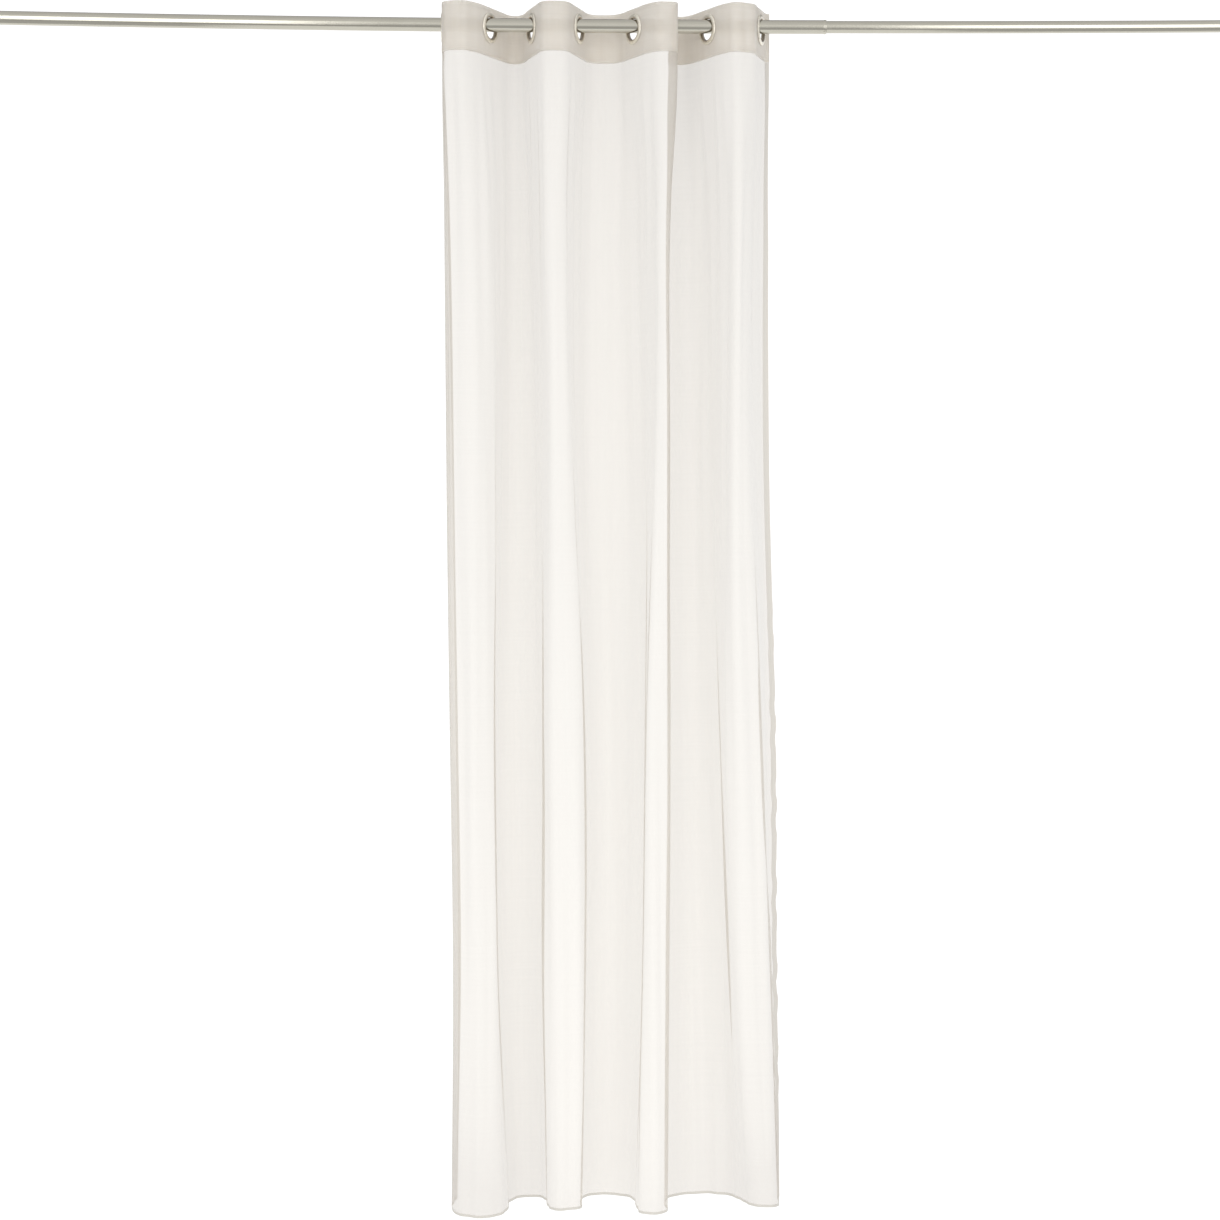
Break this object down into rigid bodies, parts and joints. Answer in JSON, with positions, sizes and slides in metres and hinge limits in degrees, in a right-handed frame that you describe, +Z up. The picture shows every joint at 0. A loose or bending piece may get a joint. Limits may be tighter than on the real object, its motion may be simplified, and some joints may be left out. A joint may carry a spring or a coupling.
{
  "type": "sheer voile curtain with curtain rod",
  "caption": "Sheer off-white voile curtain with a metal-eyelet heading, gathered on a satin nickel telescopic rod.",
  "frame": {"origin": "on the rod's axis, halfway between its two ends", "axes": "+X along the rod to the viewer's right, +Z up, the side that faces the room is -Y"},
  "size_m": [2.59, 0.1552, 2.4594],
  "materials": {
    "voile": "fine plain-weave voile, sheer",
    "heading": "doubled voile with a stiffener, denser than the panel",
    "eyelet_metal": "satin nickel",
    "rod_metal": "satin nickel, brushed along the tube"
  },
  "bodies": {
    "root": {"voile_panel": "voile", "heading_band": "heading", "eyelet_1": "eyelet_metal", "eyelet_2": "eyelet_metal", "eyelet_3": "eyelet_metal", "eyelet_4": "eyelet_metal", "eyelet_5": "eyelet_metal", "eyelet_6": "eyelet_metal", "eyelet_7": "eyelet_metal", "eyelet_8": "eyelet_metal", "rod_outer_tube": "rod_metal", "rod_inner_tube": "rod_metal"}
  },
  "joints": []
}
